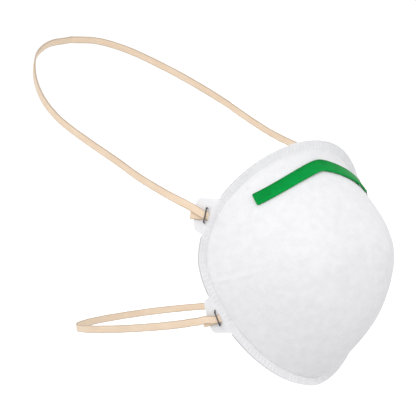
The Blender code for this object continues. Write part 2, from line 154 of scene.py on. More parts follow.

# Straps and staples. Reaches are along the strap from the staple or, for the turn
# from the tab's direction, in Y from the hinge.
BAND_WIDTH = 4.2
BAND_THICK = 0.9
BAND_CORNER = 0.22
BAND_RIPPLE = ((0.012, 0.9, 0.0), (0.01, 0.37, 1.0))
FOLD_REACH = -0.3
FOLD_STEPS = 12
END_SPACING = 0.6
RUN_SPACING = 0.9
RUN_DROP = 0.05
TURN_REACH = (-6.0, 14.0)
TAIL_LIFT = GAP + BAND_THICK / 2.0
RUN_LIFT = TAIL_LIFT + BAND_THICK + GAP
WIRE_RADIUS = 0.32
WIRE_SIDES = 16
WIRE_SWELL = 0.28
WIRE_FLATTEN = (1.1, 0.92)
WIRE_LIFT = RUN_LIFT + BAND_THICK / 2.0 + GAP + WIRE_RADIUS
STAPLE_CROWN = 7.8
STAPLE_CLINCH = 2.8
STAPLE_CORNER = 0.8
CLINCH_GAP = 0.45
UPPER_ROUTE = (
    (66.2, 9.0, 31.8), (68.3, 14.5, 34.5), (69.8, 23.5, 38.3), (70.2, 38.0, 43.8),
    (69.5, 57.0, 51.6), (68.0, 80.0, 60.0), (67.2, 103.4, 69.7), (65.3, 119.5, 77.5), (59.7, 137.5, 87.1),
    (50.2, 155.5, 98.0), (36.5, 172.0, 108.7), (19.0, 182.6, 115.3), (0.0, 186.4, 117.4),
)
LOWER_ROUTE = (
    (65.8, 3.9, -30.9), (67.2, 10.0, -32.2), (67.0, 28.0, -35.3), (64.0, 50.0, -38.8),
    (60.8, 70.0, -41.8), (59.4, 86.0, -43.8), (57.8, 103.0, -45.7), (53.8, 117.4, -47.2),
    (46.0, 129.0, -48.2), (34.0, 137.7, -48.9), (18.0, 143.2, -49.3), (0.0, 144.8, -49.4),
)

# Creases in the moulded wall, seen from the front: start and end (X, Z), half width, height.
FOLDS = (
    ((-57.0, -11.5), (-45.0, -2.5), 0.9, 0.28),
    ((-56.5, -8.5), (-45.0, 0.5), 1.3, -0.20),
    ((4.0, 38.0), (16.0, 31.5), 1.3, -0.50),
    ((2.0, 35.5), (13.0, 29.5), 1.5, 0.34),
    ((-18.0, 37.5), (-23.0, 24.0), 1.8, -0.22),
    ((-42.0, 13.0), (-24.0, 3.0), 2.6, -0.20),
    ((-31.0, -19.0), (-10.0, -27.0), 2.2, 0.18),
    ((-27.0, -41.0), (-8.0, -46.0), 2.0, -0.20),
    ((46.0, -4.0), (57.5, -11.0), 1.0, 0.28),
    ((28.0, 13.0), (42.0, 4.0), 2.2, -0.20),
)

# Each strap's tab, route, width direction once it is clear of the tab, and the
# "uneven" rows, where its +X half lies off the -X half: from Y, to Y, rise.
STRAPS = {
    "upper": {
        "tab": UPPER_TAB, "route": UPPER_ROUTE, "wide": (0.0, -0.40, 0.92),
        "uneven": ((4.0, 150.0, -2.6), (165.0, 215.0, 1.0)),
    },
    "lower": {"tab": LOWER_TAB, "route": LOWER_ROUTE, "wide": (0.0, 0.10, 0.99), "uneven": ()},
}

# Camera.
TARGET = Vector((-55.118, 0.0, 29.632))
CAMERA_AZIMUTH = math.radians(-41.074)
CAMERA_ELEVATION = math.radians(5.236)
CAMERA_ROLL = math.radians(-1.815)
CAMERA_DISTANCE = 893.7
SENSOR = 36.0
FOCAL_PIXELS = 1731.25
IMAGE_WIDTH = 416.0
CLIP_END = 20.0

# Studio: floor and lights in metres, with each light's name, place, width and watts.
FLOOR_SIZE = 9.0
FLOOR_HEIGHT = -0.32
FLOOR_GLOW = 0.45
SKY_SEEN = 1.05
SKY_LOW = (0.80, 0.80, 0.805)
SKY_HIGH = (0.95, 0.952, 0.96)
SKY_SPAN = 0.8
SOFTBOXES = (
    ("key_light", (-1.7, -1.0, 1.1), 0.9, 12.0),
    ("fill_light", (0.9, -1.9, 0.5), 1.4, 2.0),
)


def make_camera():
    a, e = CAMERA_AZIMUTH, CAMERA_ELEVATION
    back = Vector((math.sin(a) * math.cos(e), -math.cos(a) * math.cos(e), math.sin(e)))
    right = Vector((math.cos(a), math.sin(a), 0.0))
    up = back.cross(right)
    tilted = right * math.cos(CAMERA_ROLL) + up * math.sin(CAMERA_ROLL)
    upright = up * math.cos(CAMERA_ROLL) - right * math.sin(CAMERA_ROLL)
    data = bpy.data.cameras.new("camera")
    data.sensor_width = SENSOR
    data.lens = FOCAL_PIXELS / IMAGE_WIDTH * SENSOR
    data.clip_end = CLIP_END
    camera = bpy.data.objects.new("camera", data)
    bpy.context.collection.objects.link(camera)
    turn = Matrix((tilted, upright, back)).transposed().to_4x4()
    turn.translation = (TARGET + back * CAMERA_DISTANCE) * MM
    camera.matrix_world = turn
    bpy.context.scene.camera = camera


# ------------------------------------------------------------ shader helpers

class Nodes:
    """Short calls that add nodes to a new material and join them."""

    def __init__(self, name):
        self.mat = bpy.data.materials.new(name)
        self.mat.use_nodes = True
        self.tree = self.mat.node_tree
        self.shader = self.tree.nodes["Principled BSDF"]
        self.coords = self.add("ShaderNodeTexCoord")

    def add(self, kind, **settings):
        node = self.tree.nodes.new(kind)
        for key, value in settings.items():
            setattr(node, key, value)
        return node

    def join(self, source, target):
        self.tree.links.new(source, target)

    def mapped(self, scale, source="Object"):
        """Coordinates stretched by `scale`, in features per millimetre."""
        node = self.add("ShaderNodeMapping")
        factor = 1000.0 if source == "Object" else 1.0
        node.inputs["Scale"].default_value = [s * factor for s in scale]
        self.join(self.coords.outputs[source], node.inputs["Vector"])
        return node.outputs["Vector"]

    def noise(self, scale, detail=3.0, roughness=0.55, distortion=0.0, source="Object"):
        node = self.add("ShaderNodeTexNoise")
        node.inputs["Scale"].default_value = 1.0
        node.inputs["Detail"].default_value = detail
        node.inputs["Roughness"].default_value = roughness
        node.inputs["Distortion"].default_value = distortion
        vector = self.mapped(scale if hasattr(scale, "__len__") else (scale,) * 3, source)
        self.join(vector, node.inputs["Vector"])
        return node.outputs["Fac"]

    def ramp(self, value, stops):
        node = self.add("ShaderNodeValToRGB")
        elements = node.color_ramp.elements
        while len(elements) < len(stops):
            elements.new(0.5)
        for element, (place, color) in zip(elements, stops):
            element.position = place
            element.color = (*color, 1.0) if hasattr(color, "__len__") else (color,) * 3 + (1.0,)
        self.join(value, node.inputs["Fac"])
        return node.outputs["Color"]

    def math(self, operation, a, b):
        node = self.add("ShaderNodeMath", operation=operation)
        for i, value in enumerate((a, b)):
            if isinstance(value, (int, float)):
                node.inputs[i].default_value = value
            else:
                self.join(value, node.inputs[i])
        return node.outputs[0]

    def multiply(self, a, b, factor=1.0):
        node = self.add("ShaderNodeMix", data_type="RGBA", blend_type="MULTIPLY")
        node.inputs["Factor"].default_value = factor
        self.join(a, node.inputs["A"])
        self.join(b, node.inputs["B"])
        return node.outputs["Result"]

    def bump(self, height, distance, strength, before=None):
        node = self.add("ShaderNodeBump")
        node.inputs["Distance"].default_value = distance * MM
        node.inputs["Strength"].default_value = strength
        self.join(height, node.inputs["Height"])
        if before is not None:
            self.join(before, node.inputs["Normal"])
        return node.outputs["Normal"]

    def finish(self, color=None, roughness=None, normal=None, **values):
        for key, value in values.items():
            self.shader.inputs[key.replace("_", " ")].default_value = value
        pairs = (("Base Color", color), ("Roughness", roughness), ("Normal", normal))
        for key, source in pairs:
            if source is not None:
                self.join(source, self.shader.inputs[key])
        return self.mat


def fibre_material(name, light, dark, fibre, cloud, depth):
    """Nonwoven fabric: tangled fibres, denser and thinner patches."""
    n = Nodes(name)
    patches = n.noise(cloud, 4.0, 0.6)
    fine = n.noise(fibre, 4.0, 0.7, 0.6)
    strands = n.noise((fibre * 2.2, fibre * 0.5, fibre * 0.5), 3.0, 0.6, 1.4)
    crossing = n.noise((fibre * 0.5, fibre * 0.5, fibre * 2.2), 3.0, 0.6, 1.4)
    tint = n.ramp(patches, ((0.30, dark), (0.70, light)))
    speck = n.ramp(fine, ((0.25, 0.93), (0.65, 1.0)))
    tangle = n.math("ADD", n.math("MULTIPLY", strands, 0.5), n.math("MULTIPLY", crossing, 0.5))
    height = n.math("ADD", n.math("MULTIPLY", fine, 0.5), tangle)
    normal = n.bump(height, depth, 0.9, n.bump(patches, depth * 2.2, 0.5))
    rough = n.ramp(fine, ((0.2, 0.82), (0.8, 0.98)))
    return n.finish(
        n.multiply(tint, speck), rough, normal,
        Sheen_Weight=0.12, Sheen_Roughness=0.6, Specular_IOR_Level=0.18,
    )


def cover_material():
    return fibre_material("cover_nonwoven", (0.900, 0.897, 0.907), (0.838, 0.835, 0.852), 2.4, 0.22, 0.15)


def lining_material():
    return fibre_material("lining_nonwoven", (0.90, 0.90, 0.905), (0.86, 0.86, 0.872), 3.2, 0.30, 0.06)


def felt_material():
    return fibre_material("filter_felt", (0.82, 0.83, 0.84), (0.74, 0.75, 0.77), 1.6, 0.16, 0.16)


def support_material():
    return fibre_material("support_fibre", (0.85, 0.85, 0.82), (0.76, 0.76, 0.72), 1.1, 0.12, 0.22)


def strip_material():
    """Painted metal: UV v runs from the strip's lower edge to its upper edge, and a ramp on it paints
    shade across the strip, darkest along the upper edge.
    """
    n = Nodes("strip_green")
    broad = n.noise(0.11, 3.0, 0.6)
    streaks = n.noise((0.15, 0.15, 0.9), 4.0, 0.65)
    grain = n.noise(3.4, 3.0, 0.6)
    tint = n.ramp(broad, ((0.30, (0.0, 0.285, 0.046)), (0.70, (0.0, 0.375, 0.062))))
    shade = n.ramp(streaks, ((0.30, 0.86), (0.70, 1.0)))
    split = n.add("ShaderNodeSeparateXYZ")
    n.join(n.coords.outputs["UV"], split.inputs["Vector"])
    # Painted shade across the strip: darker toward the upper edge, lightest near the lower edge.
    painted_edge_shade = n.ramp(split.outputs["Y"], STRIP_PAINTED_SHADE)
    rough = n.ramp(streaks, ((0.2, 0.34), (0.8, 0.50)))
    normal = n.bump(grain, 0.03, 0.5, n.bump(broad, 0.35, 0.6))
    color = n.multiply(n.multiply(tint, shade), painted_edge_shade)
    return n.finish(color, rough, normal, Specular_IOR_Level=0.06)


def foam_material():
    n = Nodes("foam_grey")
    cells = n.add("ShaderNodeTexVoronoi", feature="F1")
    cells.inputs["Scale"].default_value = 1.0
    n.join(n.mapped((1.7, 1.7, 1.7)), cells.inputs["Vector"])
    # Painted shade in the foam's pores: darker toward each cell's centre.
    pore_shade = n.ramp(cells.outputs["Distance"], ((0.10, 0.55), (0.42, 1.0)))
    tone = n.ramp(n.noise(0.35), ((0.3, (0.60, 0.61, 0.62)), (0.7, (0.69, 0.69, 0.70))))
    normal = n.bump(cells.outputs["Distance"], 0.35, 0.9)
    return n.finish(n.multiply(tone, pore_shade), normal=normal, Roughness=0.95, Sheen_Weight=0.1)


def elastic_material():
    """Flat rubbery elastic: UV u runs along it in centimetres, v across it; its two edges carry painted
    shade.
    """
    n = Nodes("elastic_beige")
    split = n.add("ShaderNodeSeparateXYZ")
    n.join(n.coords.outputs["UV"], split.inputs["Vector"])
    edge = n.math("ABSOLUTE", n.math("SUBTRACT", split.outputs["Y"], 0.5), 0.0)
    # Painted shade along both edges of the band, darkening the colour to 0.62 at each edge.
    band_edge_shade = n.ramp(edge, ((0.36, 1.0), (0.46, 0.62)))
    broad = n.noise((0.7, 0.8, 1.0), 3.0, 0.6, source="UV")
    tint = n.ramp(broad, ((0.3, (0.845, 0.655, 0.475)), (0.7, (0.915, 0.735, 0.555))))
    ribs = n.noise((0.5, 16.0, 1.0), 2.0, 0.5, source="UV")
    grain = n.noise((14.0, 9.0, 1.0), 3.0, 0.6, source="UV")
    streak = n.ramp(ribs, ((0.3, 0.93), (0.7, 1.0)))
    rough = n.ramp(grain, ((0.2, 0.46), (0.8, 0.66)))
    normal = n.bump(grain, 0.04, 0.5, n.bump(ribs, 0.12, 0.7))
    color = n.multiply(n.multiply(tint, band_edge_shade), streak)
    return n.finish(color, rough, normal, Specular_IOR_Level=0.3, Sheen_Weight=0.05)


def steel_material():
    n = Nodes("staple_steel")
    draw = n.noise((1.2, 1.2, 5.0), 3.0, 0.6)
    tint = n.ramp(draw, ((0.3, (0.035, 0.035, 0.038)), (0.7, (0.16, 0.16, 0.165))))
    rough = n.ramp(draw, ((0.2, 0.22), (0.8, 0.42)))
    return n.finish(tint, rough, n.bump(draw, 0.02, 0.5), Metallic=1.0)


# --------------------------------------------------------- shape of the cup

def rim_forward(height, inset=0.0):
    above = height >= 0.0
    reach = np.where(above, RIM_ABOVE, RIM_BELOW) - inset
    forward = np.where(above, NOSE_FORWARD, CHIN_FORWARD)
    curve = np.where(above, NOSE_CURVE, CHIN_CURVE)
    return -forward * (np.abs(height) / reach) ** curve


def rim_point(angle, inset=0.0):
    """Rim points for an array of angles, as an (n, 3) array."""
    across, up = np.cos(angle), np.sin(angle)
    reach = np.where(up >= 0.0, RIM_ABOVE, RIM_BELOW) - inset
    power = np.where(up >= 0.0, RIM_POWER_ABOVE, RIM_POWER_BELOW)
    x = (RIM_HALF_WIDTH - inset) * np.sign(across) * np.abs(across) ** (2.0 / power)
    z = reach * np.sign(up) * np.abs(up) ** (2.0 / power)
    return np.stack([x, rim_forward(z, inset), z], axis=-1)


def angle_at_height(height):
    reach = RIM_ABOVE if height >= 0.0 else RIM_BELOW
    power = RIM_POWER_ABOVE if height >= 0.0 else RIM_POWER_BELOW
    return math.copysign(math.asin((abs(height) / reach) ** (power / 2.0)), height)


def cup_powers(up):
    above, below = np.maximum(up, 0.0) ** 2, np.maximum(-up, 0.0) ** 2
    beside = 1.0 - above - below
    shares = zip(CUP_POWERS_ABOVE, CUP_POWERS_BESIDE, CUP_POWERS_BELOW)
    return [a * above + s * beside + b * below for a, s, b in shares]


def cup_point(angle, share):
    """Outside of the cup at arrays of rim angle and share of the way out."""
    seal = rim_point(angle, FLANGE_WIDTH)
    first, second = cup_powers(np.sin(angle))
    rise = np.maximum(1.0 - share ** first, 0.0) ** (1.0 / second)
    x = seal[..., 0] * share
    y = seal[..., 1] - (seal[..., 1] + CUP_DEPTH) * rise
    z = CROWN_HEIGHT + (seal[..., 2] - CROWN_HEIGHT) * share
    return np.stack([x, y, z], axis=-1)


def rim_at_height(height):
    return rim_point(np.array(angle_at_height(height)))


class TabFrame:
    """Directions on a tab: out along it, up it, and forward from its face."""

    def __init__(self, tab, side=1.0):
        high, low = rim_at_height(tab["top"]), rim_at_height(tab["bottom"])
        turn, lean = math.radians(tab["turn_back"]), math.radians(tab["lean"])
        out = np.array((math.cos(turn), math.sin(turn), 0.0))
        front = unit(np.cross(out, high - low))
        up = np.cross(front, out)
        middle = rim_at_height(0.5 * (tab["top"] + tab["bottom"]))
        flip = np.array((side, 1.0, 1.0))
        self.flat_out, self.flat_up = out, up
        self.staple = (middle + out * tab["staple"][0] + up * tab["staple"][1]) * flip
        self.out = (out * math.cos(lean) + up * math.sin(lean)) * flip
        self.up = (up * math.cos(lean) - out * math.sin(lean)) * flip
        self.front = front * flip

    def at(self, reach, up, lift):
        """Point out, up and forward from the middle of the staple."""
        return self.staple + self.out * reach + self.up * up + self.front * lift


def tab_at(height):
    for tab in TABS:
        if tab["bottom"] - TAB_FILLET < height < tab["top"] + TAB_FILLET:
            return tab
    return None


def tab_length(tab, height, full):
    """Length of the tab from the rim: rounded corners, filleted roots."""
    above, below = tab["top"] - height, height - tab["bottom"]
    corner = tab["top_corner"] if above < below else tab["bottom_corner"]
    inside = min(above, below)
    if inside >= 0.0:
        short = max(corner - inside, 0.0)
        return full - corner + math.sqrt(corner ** 2 - short ** 2)
    gone = 1.0 + inside / TAB_FILLET
    return TAB_FILLET * (1.0 - math.sqrt(1.0 - gone ** 2))


def tab_edge(spot, tab, height):
    """From the rim to the tab's tip at a height, on the +X side."""
    share = (height - tab["bottom"]) / (tab["top"] - tab["bottom"])
    share = min(max(share, 0.0), 1.0)
    low, high = np.array(tab["bottom_edge"]), np.array(tab["top_edge"])
    edge = low + (high - low) * share
    full = float(np.linalg.norm(edge))
    edge = edge * tab_length(tab, height, full) / full
    return spot.flat_out * edge[0] + spot.flat_up * edge[1]


def tab_tips(points):
    """Outer edge of the flange and its tabs, for points of the rim."""
    spots = {id(tab): TabFrame(tab) for tab in TABS}
    tips = points.copy()
    for i, (x, _, z) in enumerate(points):
        tab = tab_at(z)
        if tab is not None:
            beyond = tab_edge(spots[id(tab)], tab, z)
            tips[i] += beyond * (math.copysign(1.0, x), 1.0, 1.0)
    return tips


def reach_along(path):
    """Length from the start of a path to each of its points."""
    steps = np.linalg.norm(np.diff(path, axis=0), axis=1)
    return np.concatenate([[0.0], np.cumsum(steps)])


def column_angles(count):
    """Angles and lengths round the rim, evenly spaced, with columns at tab edges."""
    dense = np.radians(np.linspace(90.0, -90.0, RIM_SAMPLES))
    reach = reach_along(rim_point(dense))
    even = np.interp(np.linspace(0.0, reach[-1], count + 1), reach, dense)
    special = []
    for tab in TABS:
        for step in TAB_EDGE_STEPS:
            special += [angle_at_height(tab["top"] - step), angle_at_height(tab["bottom"] + step)]
    special = np.array(special)
    spare = np.min(np.abs(even[:, None] - special[None, :]), axis=1) > COLUMN_SPACING
    half = np.sort(np.concatenate([even[spare], special]))[::-1]
    length = np.interp(-half, -dense, reach)
    angles = np.concatenate([half, math.pi - half[1:-1][::-1]])
    total = 2.0 * reach[-1]
    return angles, np.concatenate([length, total - length[1:-1][::-1]]), total


def unit(vectors):
    return vectors / np.maximum(np.linalg.norm(vectors, axis=-1, keepdims=True), 1e-9)


def cup_shares(rows):
    """Shares from the flange toward the crown, closest together at the flange."""
    return 1.0 - (np.arange(rows) / rows) ** CUP_ROW_CROWDING


def flange_grid(angles, rows):
    """Flange columns from the outer edge inward, bent where a tab turns back."""
    rim, seal = rim_point(angles), rim_point(angles, FLANGE_WIDTH)
    tips = tab_tips(rim)
    beyond = tips - rim
    length = np.linalg.norm(beyond, axis=1, keepdims=True)
    bend_out = rim + beyond * np.minimum(1.0, TAB_BEND / np.maximum(length, TAB_BEND))
    bend_in = rim + (seal - rim) * (TAB_BEND / FLANGE_WIDTH)
    path = [tips]
    for t in np.linspace(0.0, 1.0, 11):
        path.append(bend_out * (1 - t) ** 2 + rim * 2 * t * (1 - t) + bend_in * t ** 2)
    path = np.stack(path + [seal], axis=1)
    steps = np.linalg.norm(np.diff(path, axis=1), axis=2)
    reach = np.concatenate([np.zeros((len(angles), 1)), np.cumsum(steps, axis=1)], axis=1)
    grid = np.empty((len(angles), rows, 3))
    for i in range(len(angles)):
        marks = reach[i, -1] * np.arange(rows) / rows
        for k in range(3):
            grid[i, :, k] = np.interp(marks, reach[i], path[i, :, k])
    inset = reach[:, -1:] * (1.0 - np.arange(rows) / rows)[None, :]
    return grid, FLANGE_WIDTH - inset


def wall(angles, flange_rows, cup_rows):
    """Points, outward normals and flange insets: outer edge first."""
    flange, inset = flange_grid(angles, flange_rows)
    cup = cup_point(angles[:, None], cup_shares(cup_rows)[None, :])
    points = np.concatenate([flange, cup], axis=1)
    ahead, behind = rim_point(angles - ANGLE_STEP), rim_point(angles + ANGLE_STEP)
    around = np.roll(points, -1, axis=0) - np.roll(points, 1, axis=0)
    around[:, :flange_rows] = unit(ahead - behind)[:, None]
    faces = unit(np.cross(np.diff(points, axis=1), around[:, :-1]))
    normals = np.empty_like(points)
    normals[:, 0], normals[:, -1] = faces[:, 0], faces[:, -1]
    normals[:, 1:-1] = unit(faces[:, 1:] + faces[:, :-1])
    return points, normals, inset


def grid_faces(columns, rows, offset, tip):
    """Quads of a ring-by-row grid, closed by a fan at the tip."""
    c = np.arange(columns)[:, None]
    r = np.arange(rows - 1)[None, :]
    d = (c + 1) % columns
    quads = np.stack([c * rows + r, d * rows + r, d * rows + r + 1, c * rows + r + 1], axis=-1)
    fan = [(offset + k * rows + rows - 1, offset + ((k + 1) % columns) * rows + rows - 1, tip)
           for k in range(columns)]
    return [tuple(q) for q in (quads.reshape(-1, 4) + offset).tolist()] + fan


def piece(name, points, faces, mat, sharp=40.0):
    """A mesh object from points in millimetres."""
    mesh = bpy.data.meshes.new(name)
    mesh.from_pydata((np.asarray(points) * MM).tolist(), [], faces)
    mesh.validate()
    mesh.materials.append(mat)
    mesh.shade_smooth()
    mesh.set_sharp_from_angle(angle=math.radians(sharp))
    obj = bpy.data.objects.new(name, mesh)
    bpy.context.collection.objects.link(obj)
    return obj


def sheet_piece(name, front, back, mat):
    """A closed sheet from its outside and its inside, each (points, crown)."""
    points, faces = [], []
    for grid, crown in (front, back):
        offset = len(points)
        columns, rows = grid.shape[:2]
        points += grid.reshape(-1, 3).tolist() + [tuple(crown)]
        faces += grid_faces(columns, rows, offset, offset + columns * rows)
    columns, rows = front[0].shape[:2]
    other = columns * rows + 1
    behind = back[0].shape[1]
    for c in range(columns):
        d = (c + 1) % columns
        faces.append((c * rows, d * rows, other + d * behind, other + c * behind))
    obj = piece(name, points, faces, mat)
    outward(obj)
    return obj


def outward(obj):
    bm = bmesh.new()
    bm.from_mesh(obj.data)
    bmesh.ops.recalc_face_normals(bm, faces=bm.faces)
    bm.to_mesh(obj.data)
    bm.free()


# ------------------------------------------------------------- cover detail

def lump(points, height, size, seed):
    """Smooth noise of about +-height at each point."""
    shift = Vector((seed * 17.3, seed * 5.1, seed * 9.7))
    spots = points.reshape(-1, 3).tolist()
    values = np.array([noise.noise(Vector(p) / size + shift) for p in spots])
    return height * values.reshape(points.shape[:-1])


def lumps(points, rows):
    """Noise of several sizes together."""
    return sum(lump(points, *row) for row in rows)


def smooth_step(value, low, high):
    t = np.clip((value - low) / (high - low), 0.0, 1.0)
    return t * t * (3.0 - 2.0 * t)


def band_window(value, low, high, soft):
    rise = smooth_step(value, low - soft, low + soft)
    return rise * (1.0 - smooth_step(value, high - soft, high + soft))


def crease(points, start, end, width):
    """Height field of a shallow fold along a line, zero away from it."""
    a, b = np.array(start), np.array(end)
    length = np.linalg.norm(b - a)
    along = (b - a) / length
    rel = points[..., ::2] - a
    t = rel @ along
    away = np.linalg.norm(rel - t[..., None] * along, axis=-1)
    fade = smooth_step(t, -2.0, 4.0) * (1.0 - smooth_step(t, length - 5.0, length + 1.0))
    return fade * np.exp(-(away / width) ** 2)


def nose_to_chin(lengths, total):
    """How far round the rim each column is: nose 0, chin 1, on either side."""
    return np.minimum(lengths, total - lengths) / (0.5 * total)


def flange_relief(inset, lengths, total):
    """Weld ridges, dimpled below, in a thinned band: clearest at nose and chin."""
    share = nose_to_chin(lengths, total)
    strength = 0.45 + 0.55 * np.maximum(1.0 - share * 4.0, 0.0) + 0.35 * smooth_step(share, 0.45, 0.6)
    count = round(total / RIDGE_PITCH)
    wave = np.cos(lengths * math.tau * count / total)[:, None]
    rows = 0.5 + 0.5 * np.cos(inset * math.tau / DIMPLE_ROW)
    dimpled = smooth_step(share, 0.25, 0.4)[:, None]
    wave = wave * (1.0 - dimpled) + dimpled * (1.7 * wave * rows - 0.35)
    ridged = RIDGE_HEIGHT * wave * band_window(inset, *RIDGE_BAND)
    return (ridged - WELD_SINK * band_window(inset, *WELD_BAND)) * strength[:, None]


def seal_depth(lengths, total):
    """How deep the weld's inner line is pressed: faint beside the nose."""
    share = nose_to_chin(lengths, total)
    return SEAL_GROOVE * (0.25 + 0.75 * smooth_step(share, 0.30, 0.48))


def fold_marks(points):
    """Creases from moulding and handling, as a height field in millimetres."""
    total = np.zeros(points.shape[:-1])
    for start, end, width, height in FOLDS:
        total += height * crease(points, start, end, width)
    return total


def make_cover():
    columns, flange_rows, cup_rows = COVER_MESH
    angles, lengths, total = column_angles(columns)
    points, normals, inset = wall(angles, flange_rows, cup_rows)
    relief = lumps(points, COVER_LUMPS)
    relief[:, :flange_rows + 1] *= FLANGE_CALM
    relief[:, :flange_rows] += flange_relief(inset, lengths, total)
    relief += fold_marks(points)
    groove = seal_depth(lengths, total)
    for row, share in ((-1, 0.5), (0, 1.0), (1, 0.5)):
        relief[:, flange_rows + row] -= groove * share
    front = points + normals * np.clip(relief, *RELIEF_LIMITS)[:, :, None]
    crown = np.array((0.0, -CUP_DEPTH, CROWN_HEIGHT))
    on_flange, on_cup = COVER_BACK_STRIDES
    some = list(range(0, flange_rows, on_flange)) + list(range(flange_rows, points.shape[1], on_cup))
    back = (points - normals * COVER_THICK)[:, some]
    obj = sheet_piece(
        "cover_shell", (front, crown), (back, crown + np.array((0.0, COVER_THICK, 0.0))),
        cover_material(),
    )
    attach(obj, "mask")
    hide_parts("outer_cover")


def make_lining():
    columns, flange_rows, cup_rows = LINING_MESH
    angles, lengths, total = column_angles(columns)
    points, normals, inset = wall(angles, flange_rows, cup_rows)
    depth = np.full(points.shape[1], LINING_DEPTH)
    depth[:flange_rows] = FLANGE_LINING_DEPTH
    step_in = smooth_step(np.arange(LINING_STEP_ROWS), 0, LINING_STEP_ROWS - 1)
    step_in = FLANGE_LINING_DEPTH + step_in * (LINING_DEPTH - FLANGE_LINING_DEPTH)
    depth[flange_rows:flange_rows + LINING_STEP_ROWS] = step_in
    front = points - normals * depth[None, :, None]
    relief = lumps(points, LINING_LUMPS)
    relief[:, :flange_rows + 1] *= FLANGE_CALM
    relief[:, :flange_rows] += flange_relief(inset, lengths, total)
    relief[:, flange_rows] -= seal_depth(lengths, total)
    behind = depth[None, :, None] + LINING_THICK + LINING_SWELL + relief[:, :, None]
    back = points - normals * behind
    top = np.array((0.0, LINING_DEPTH - CUP_DEPTH, CROWN_HEIGHT))
    obj = sheet_piece(
        "inner_lining_shell", (front, top), (back, top + np.array((0.0, LINING_THICK, 0.0))),
        lining_material(),
    )
    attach(obj, "mask")
    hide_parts("inner_lining")


# ------------------------------------------------------- nose strip and foam

def surface_forward(x, z):
    """Y of the outside of the cup at arrays of x and z."""
    across, rise = np.abs(x), z - CROWN_HEIGHT
    aim = np.arctan2(rise, across)
    low, high = aim - SEARCH_SPAN, np.full_like(aim, math.pi / 2.0)
    for _ in range(SEARCH_ROUNDS):
        middle = 0.5 * (low + high)
        seal = rim_point(middle, FLANGE_WIDTH)
        under = np.arctan2(seal[..., 2] - CROWN_HEIGHT, seal[..., 0]) < aim
        low, high = np.where(under, middle, low), np.where(under, high, middle)
    seal = rim_point(low, FLANGE_WIDTH)
    full = np.hypot(seal[..., 0], seal[..., 2] - CROWN_HEIGHT)
    share = np.minimum(np.hypot(across, rise) / full, 1.0)
    return cup_point(low, share)[..., 1]


def surface_point(x, z):
    return np.stack([x, surface_forward(x, z), z], axis=-1)


def surface_normal(x, z):
    step = SURFACE_STEP
    across = surface_point(x + step, z) - surface_point(x - step, z)
    up = surface_point(x, z + step) - surface_point(x, z - step)
    return unit(np.cross(across, up))


def strip_height(x, lower):
    fall = STRIP_SLOPE * (np.hypot(x, STRIP_BEND) - STRIP_BEND) + STRIP_CURVE * x ** 2
    return STRIP_TOP - lower - fall


def rounded_section(width, thick, radius, flat_steps, corner_steps):
    """Closed outline of a flat bar: (across, lift) pairs round its section."""
    outline = []
    corners = ((1, 1, 0.0), (-1, 1, 90.0), (-1, -1, 180.0), (1, -1, 270.0))
    for sx, sy, first in corners:
        cx, cy = sx * (width / 2.0 - radius), sy * (thick / 2.0 - radius)
        for i in range(corner_steps + 1):
            turn = math.radians(first + 90.0 * i / corner_steps)
            outline.append((cx + radius * math.cos(turn), cy + radius * math.sin(turn)))
        if flat_steps > 1 and sx * sy > 0:
            for i in range(1, flat_steps):
                outline.append((cx - sx * (width - 2.0 * radius) * i / flat_steps, sy * thick / 2.0))
    return np.array(outline)


def tube_faces(rings, size):
    faces = []
    for r in range(rings - 1):
        for k in range(size):
            m = (k + 1) % size
            faces.append((r * size + k, r * size + m, (r + 1) * size + m, (r + 1) * size + k))
    faces.append(tuple(range(size))[::-1])
    faces.append(tuple((rings - 1) * size + k for k in range(size)))
    return faces


def strip_rings(half_span, section, middle_depth, lower, steps, end_round):
    """Rings of a bar bent along the cup, and its normals; ends narrow over `end_round`."""
    x = np.linspace(-half_span, half_span, steps + 1)
    from_end = half_span - np.abs(x)
    z = strip_height(x, lower)
    ends = [surface_point(spot, strip_height(spot, lower))
            for spot in (x + SURFACE_STEP, x - SURFACE_STEP)]
    along = unit(ends[0] - ends[1])
    middle = surface_point(x, z)
    side = unit(np.cross(surface_normal(x, z), along))
    short = np.clip(end_round - from_end, 0.0, end_round)
    trim = end_round - np.sqrt(np.maximum(end_round ** 2 - short ** 2, 0.0))
    half_width = np.abs(section[:, 0]).max()
    scale = (half_width - trim) / half_width
    spots = middle[:, None] + side[:, None] * (section[None, :, 0:1] * scale[:, None, None])
    flat_x, flat_z = spots[..., 0], spots[..., 2]
    base = surface_point(flat_x, flat_z)
    normal = surface_normal(flat_x, flat_z)
    return base + normal * (middle_depth + section[None, :, 1:2]), normal


def make_strip():
    section = rounded_section(STRIP_WIDTH, STRIP_THICK, STRIP_CORNER, 8, 4)
    rings, normal = strip_rings(
        STRIP_HALF_SPAN, section, GAP + STRIP_THICK / 2.0, 0.0, 220, STRIP_END_ROUND)
    rings = rings + normal * lumps(rings, STRIP_LUMPS)[..., None]
    size = len(section)
    obj = piece("nose_band", rings.reshape(-1, 3), tube_faces(rings.shape[0], size),
                strip_material(), 50.0)
    outward(obj)
    across = section[:, 0] / STRIP_WIDTH + 0.5
    along = np.linspace(0.0, STRIP_UV_LENGTH, len(rings))
    add_uv(obj, np.repeat(along, size), np.tile(across, len(rings)))
    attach(obj, "mask")
    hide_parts("nose_strip")


def make_foam():
    depth = LINING_DEPTH + LINING_THICK + GAP + FOAM_THICK / 2.0
    section = rounded_section(FOAM_WIDTH, FOAM_THICK, FOAM_CORNER, 8, 5)
    rings, normal = strip_rings(FOAM_HALF_SPAN, section, -depth, FOAM_LOWER, 150, FOAM_END_ROUND)
    rings = rings + normal * lumps(rings, FOAM_LUMPS)[..., None]
    obj = piece("nose_pad", rings.reshape(-1, 3), tube_faces(rings.shape[0], len(section)),
                foam_material(), 60.0)
    outward(obj)
    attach(obj, "mask")
    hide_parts("nose_foam")


# --------------------------------------------------------- straps and staples

